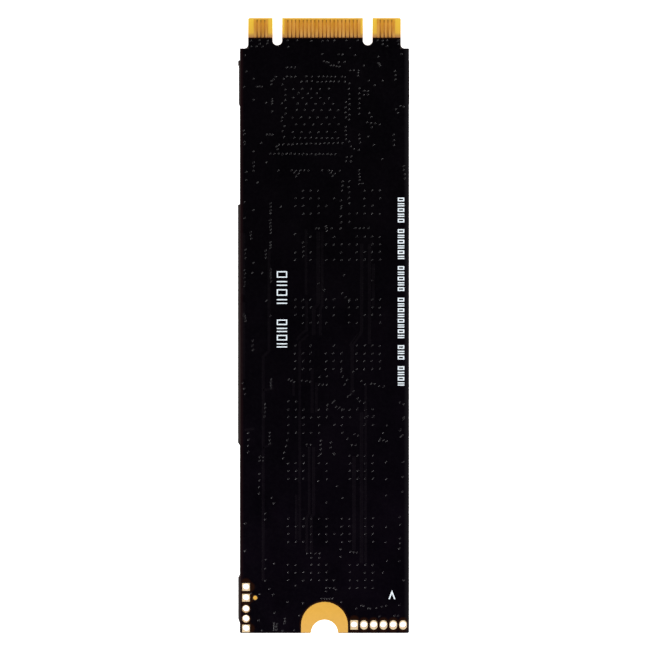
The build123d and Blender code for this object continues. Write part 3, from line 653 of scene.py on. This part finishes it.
def back_vias(work):
    scatter = random.Random(7)
    places = [*memory_vias(), *controller_vias(), *run_vias()]
    for x, from_end in places:
        drift_x = scatter.uniform(-VIA_DRIFT, VIA_DRIFT)
        drift_y = scatter.uniform(-VIA_DRIFT, VIA_DRIFT)
        add_via(work, x + drift_x, from_end + drift_y, size=scatter.uniform(*VIA_SIZES))


piece("via_caps_back", back_vias, "mask_over_copper")

# Traces under the lacquer on the bare side: a width, then the corners of each run
TRACE_H = 0.007  # mm
TRACE_SLOPE = 0.05  # mm that each side's slope reaches out
TRACE_TIGHTEST = 0.5  # keeps a sharp corner's mitre under twice the width
BACK_TRACES = (
    (0.26, (-7.2, 49.9), (-7.2, 36.7), (-7.95, 35.9), (-7.95, 6.8)),
    (0.18, (-6.6, 31.8), (-7.95, 31.6)),
    (0.18, (-6.8, 24.6), (-7.95, 24.1)),
    (0.22, (-2.4, 52.5), (-2.4, 44.0)),
    (0.36, (-0.82, 52.2), (-0.82, 42.8), (-1.4, 42.1), (-1.4, 38.7)),
    (0.24, (-0.31, 52.2), (-0.31, 42.6), (-0.53, 42.2), (-0.53, 38.7)),
    (0.22, (-2.3, 43.2), (-2.3, 39.4), (-3.0, 38.9), (-3.65, 38.1)),
    (0.22, (-2.1, 38.8), (-3.2, 37.8), (-3.2, 12.1)),
    (0.30, (4.83, 50.6), (4.83, 39.2), (3.7, 37.6), (3.6, 37.2), (3.6, 31.0)),
    (0.18, (4.4, 38.9), (3.25, 37.3)),
    (0.30, (5.85, 50.6), (5.85, 37.6)),
    (0.25, (6.36, 48.0), (6.36, 42.3)),
    (0.20, (-4.0, 32.6), (-4.0, 30.8)),
    (0.28, (-1.6, 34.4), (-1.6, 28.6)),
    (0.22, (-1.04, 32.6), (-1.04, 28.7)),
    (0.22, (-1.98, 24.2), (-1.98, 15.5), (-2.28, 15.1), (-2.28, 10.5)),
    (0.28, (-1.4, 24.2), (-1.4, 15.5), (-1.7, 15.1), (-1.7, 10.5)),
    (0.20, (-3.65, 18.0), (-3.65, 12.2)),
    (0.36, (4.83, 28.7), (4.83, 9.1)),
    (0.20, (5.37, 32.2), (5.37, 9.2)),
    (0.34, (3.85, 23.0), (3.85, 10.8)),
    (0.20, (-10.4, 26.4), (-9.1, 26.6)),
    (0.40, (-10.55, 52.0), (-10.55, 44.0)),
    (0.40, (-10.55, 43.0), (-10.55, 33.0)),
)


def add_trace(work, width, corners, face_z=BACK_FACE_Z, out=1.0):
    """A low ridge with sloped sides along the corners, closed at both ends."""
    points = [at(*corner) for corner in corners]
    rails = []
    for i, (px, py) in enumerate(points):
        before = points[max(i - 1, 0)]
        after = points[min(i + 1, len(points) - 1)]
        turn_in = math.atan2(py - before[1], px - before[0]) if i else None
        turn_out = math.atan2(after[1] - py, after[0] - px) if i < len(points) - 1 else None
        turn_in = turn_out if turn_in is None else turn_in
        turn_out = turn_in if turn_out is None else turn_out
        heading = math.atan2(
            math.sin(turn_in) + math.sin(turn_out), math.cos(turn_in) + math.cos(turn_out)
        )
        mitre = 1 / max(math.cos((turn_out - turn_in) / 2), TRACE_TIGHTEST)
        side_x, side_y = -math.sin(heading), math.cos(heading)
        rail = []
        for reach, height in ((1.0, 0.0), (1.0, TRACE_H), (-1.0, TRACE_H), (-1.0, 0.0)):
            foot = TRACE_SLOPE if height == 0.0 else 0.0
            off = reach * (width / 2 + foot) * mitre * MM
            spot = (px + side_x * off, py + side_y * off, face_z + out * height * MM)
            rail.append(work.verts.new(spot))
        rails.append(rail)
    for first, second in zip(rails, rails[1:]):
        for i in range(4):
            after = (i + 1) % 4
            work.faces.new((first[i], first[after], second[after], second[i]))
    work.faces.new(list(reversed(rails[0])))
    work.faces.new(rails[-1])


def back_traces(work):
    for width, *corners in BACK_TRACES:
        add_trace(work, width, corners)


piece("trace_relief_back", back_traces, "mask_over_trace")

# ---------------------------------------------------------------- component side

MOUNTED_NODES = [
    *[f"nand_{i}_substrate" for i in range(1, 5)],
    "controller_substrate",
    "power_ic_body",
    "load_switch_leads",
    "load_switch_body",
    "inductor_bodies",
    "crystal_base",
    "small_capacitor_terminals",
    "medium_capacitor_terminals",
    "large_capacitor_terminals",
    "resistor_terminals",
    "fuse_terminals",
]
FOOTPRINTS = [box for node in MOUNTED_NODES for box in islands(node)]
CLEAR_OF_PARTS = 0.25 * MM


def under_a_part(x, from_end):
    px, py = at(x, from_end)
    for low, high in FOOTPRINTS:
        if low[0] - CLEAR_OF_PARTS < px < high[0] + CLEAR_OF_PARTS:
            if low[1] - CLEAR_OF_PARTS < py < high[1] + CLEAR_OF_PARTS:
                return True
    return False


def front_vias(work):
    """The same holes come out on the component side, where no part covers them."""
    for x, from_end in [*memory_vias(), *controller_vias(), *run_vias()]:
        if not under_a_part(x, from_end):
            add_via(work, x, from_end, FRONT_FACE_Z, -1.0)


piece("via_caps_front", front_vias, "mask_over_copper")

# Traces on the component side, in millimetres: x from the middle line, and from the notch end
DATA_XS = (-3.05, -2.3, -1.55, -0.8)
DATA_W = 0.14
DATA_FAN = 1.4  # how far the data lines spread towards the contacts
BUS_XS = (-4.1, -2.9, -1.7, -0.5, 0.7, 1.9, 3.1)
BUS_W = 0.16
BUS_JOG = 0.4
EDGE_BUS = ((-8.75, 5.5), (-9.1, 9.0), (-9.45, 22.0), (-9.8, 35.0))
EDGE_JOG = 0.6


def front_traces(work):
    """Data pairs to the connector, the memory bus, and its long run down the edge."""
    runs = []
    for x in DATA_XS:
        runs.append((DATA_W, (x * DATA_FAN, 77.3), (x, 76.3), (x, 75.6)))
        runs.append((DATA_W, (x, 74.2), (x, 74.0)))
    for x in BUS_XS:
        runs.append((BUS_W, (x, 63.4), (x, 61.2), (x - BUS_JOG, 60.8), (x - BUS_JOG, 60.2)))
    for x, low_end in EDGE_BUS:
        inner_x = x + EDGE_JOG
        runs.append((BUS_W, (x, low_end), (x, 58.2), (inner_x, 58.8), (inner_x, 59.6)))
    for width, *corners in runs:
        add_trace(work, width, corners, FRONT_FACE_Z, -1.0)


piece("trace_relief_front", front_traces, "mask_over_trace")

# Rows of bars on a package: how far up from its middle in shares of its length, then where
# each bar starts and ends in shares of its width
MARK_ROWS = (
    (0.32, ((-0.34, -0.10), (-0.06, 0.12))),
    (0.21, ((-0.34, 0.00), (0.04, 0.24), (0.28, 0.34))),
    (0.10, ((-0.34, -0.20), (-0.16, 0.14))),
    (-0.01, ((-0.34, -0.04), (0.00, 0.16))),
)
MARK_HEIGHT = 0.04  # in shares of the package's length
CORNER_DOT_IN = 1.0  # mm from the package's corner
CORNER_DOT_SIZE = 2.6


def package_marks(work):
    """Plain laser-marked bars on each bare package, in place of lettering, and a corner dot."""
    for node in ("nand_1", "nand_4", "controller"):
        low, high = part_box(f"{node}_mould")
        middle_x = (low.x + high.x) / 2 / MM
        middle_y = ((low.y + high.y) / 2 - END_Y) / MM
        width = (high.x - low.x) / MM
        length = (high.y - low.y) / MM
        for rise, bars in MARK_ROWS:
            y = middle_y + rise * length
            for start, stop in bars:
                ends = ((middle_x + start * width, y), (middle_x + stop * width, y))
                add_trace(work, MARK_HEIGHT * length, ends, low.z, -1.0)
        dot = (low.x / MM + CORNER_DOT_IN, (low.y - END_Y) / MM + CORNER_DOT_IN)
        add_via(work, *dot, low.z, -1.0, CORNER_DOT_SIZE)


piece("package_marks", package_marks, "laser_mark")

FILLET_REACH = 0.14 * MM
FILLET_CLIMB = 0.6  # share of the end cap's height
FILLET_STEPS = 5
CHIP_FAMILIES = ("small_capacitor", "medium_capacitor", "large_capacitor", "resistor", "fuse")


def middle_of(box):
    low, high = box
    return [(low[i] + high[i]) / 2 for i in range(3)]


def solder_fillets(work):
    """A hollow-faced wedge of solder against the outer end of each chip's end cap."""
    for family in CHIP_FAMILIES:
        bodies = [middle_of(box) for box in islands(f"{family}_bodies")]
        for low, high in islands(f"{family}_terminals"):
            middle = middle_of((low, high))
            body = min(bodies, key=lambda spot: math.dist(middle, spot))
            side = 1 if middle[1] > body[1] else -1
            face_y = high[1] if side > 0 else low[1]
            climb = (high[2] - low[2]) * FILLET_CLIMB
            profile = [(0.0, 0.0)]
            for step in range(FILLET_STEPS + 1):
                turn = math.pi / 2 * step / FILLET_STEPS
                out, up = FILLET_REACH * (1 - math.sin(turn)), climb * (1 - math.cos(turn))
                profile.append((out, up))
            ends = []
            for x in (low[0], high[0]):
                spots = [(x, face_y + side * out, FRONT_FACE_Z - up) for out, up in profile]
                ends.append([work.verts.new(spot) for spot in spots])
            for i in range(len(profile)):
                after = (i + 1) % len(profile)
                work.faces.new((ends[0][i], ends[0][after], ends[1][after], ends[1][i]))
            work.faces.new(ends[0])
            work.faces.new(list(reversed(ends[1])))


piece("solder_fillets", solder_fillets, "solder")

# ---------------------------------------------------------------- stage, light and camera


FLOOR_HALF = 3.0
FLOOR_DROP = 0.05 * MM
FLOOR_TONES = ((0.3, (0.90, 0.90, 0.90)), (0.7, (0.92, 0.92, 0.92)))
CARD_HALF = {"X": 11.0, "Y": 40.0}  # mm
FLOOR_GLOW_FADES = 4.0  # mm out from the card
FLOOR_GLOW = (0.55, 1.1)  # glow away from the card, and the stronger glow under it that paints out the card's shadow


def floor():
    """A plain pale table that glows, bright enough to read as white paper, also through the holes, and
    glows more under and near the card as painted light that fills in the card's shadow.
    """
    mesh = bpy.data.meshes.new("floor")
    signs = ((-1, -1), (1, -1), (1, 1), (-1, 1))
    corners = [(x * FLOOR_HALF, y * FLOOR_HALF, -FLOOR_DROP) for x, y in signs]
    mesh.from_pydata(corners, [], [(0, 1, 2, 3)])
    made = bpy.data.objects.new("floor", mesh)
    bpy.context.scene.collection.objects.link(made)
    g = Graph("floor_paint")
    g.set(Base_Color=g.ramp(g.noise(0.02, 2.0), *FLOOR_TONES))
    g.set(Roughness=0.9, Specular_IOR_Level=0.1)
    # Painted light: the glow is strongest under the card and fades out beyond its edges, filling in
    # its shadow
    under = 1.0
    for letter, half in CARD_HALF.items():
        off = g.math("ABSOLUTE", g.axis(letter))
        under = g.math("MULTIPLY", under, g.span(off, half, half + FLOOR_GLOW_FADES, 1.0, 0.0))
    g.set(Emission_Color=(1, 1, 1, 1), Emission_Strength=g.span(under, 0.0, 1.0, *FLOOR_GLOW))
    mesh.materials.append(g.material)


# Brightness of the studio by height: 0 is the horizon and 1 is straight up
SKY_BANDS = ((0.08, 1.0), (0.22, 0.4), (0.74, 0.4), (0.90, 0.015))


def sky():
    """An even white studio, dark overhead so that the glossy board stays black from above."""
    world = bpy.data.worlds.new("studio")
    bpy.context.scene.world = world
    world.use_nodes = True
    nodes, links = world.node_tree.nodes, world.node_tree.links
    background = nodes["Background"]
    coords = nodes.new("ShaderNodeTexCoord")
    split = nodes.new("ShaderNodeSeparateXYZ")
    links.new(coords.outputs["Generated"], split.inputs[0])
    ramp = nodes.new("ShaderNodeValToRGB")
    links.new(split.outputs["Z"], ramp.inputs["Fac"])
    stops = ramp.color_ramp.elements
    while len(stops) < len(SKY_BANDS):
        stops.new(0.5)
    for stop, (height, light) in zip(stops, SKY_BANDS):
        stop.position = height
        stop.color = (light, light, light, 1)
    links.new(ramp.outputs["Color"], background.inputs["Color"])
    background.inputs["Strength"].default_value = 1.0


# Place in metres, size in metres and power in watts of each soft light
LIGHTS = {
    "key": ((-0.42, -0.36, 0.55), 0.35, 4.45),
    "fill": ((0.42, 0.36, 0.55), 0.4, 3.75),
}


def soft_light(name, place, size, watts):
    """A round soft light aimed at the middle of the card."""
    data = bpy.data.lights.new(name, "AREA")
    data.shape = "DISK"
    data.size = size
    data.energy = watts
    lamp = bpy.data.objects.new(name, data)
    bpy.context.scene.collection.objects.link(lamp)
    lamp.location = place
    aim = lamp.location.to_track_quat("Z", "Y")
    lamp.rotation_euler = aim.to_euler()


LENS = 100.0
SENSOR = 36.0
VIEW_WIDTH = 84.46 * MM  # what the frame takes in at the height of the bare side
VIEW_MIDDLE = (0.07 * MM, 0.045 * MM)


def camera():
    """Straight down at the bare side, through a long lens, as the card was photographed."""
    data = bpy.data.cameras.new("camera")
    data.lens = LENS
    data.sensor_width = SENSOR
    made = bpy.data.objects.new("camera", data)
    bpy.context.scene.collection.objects.link(made)
    made.location = (*VIEW_MIDDLE, TOP_Z + VIEW_WIDTH * LENS / SENSOR)
    data.clip_start = 0.01
    data.clip_end = 20.0
    bpy.context.scene.camera = made


floor()
sky()
for light_name, light_look in LIGHTS.items():
    soft_light(light_name, *light_look)
camera()
bpy.context.scene.view_settings.view_transform = "Standard"
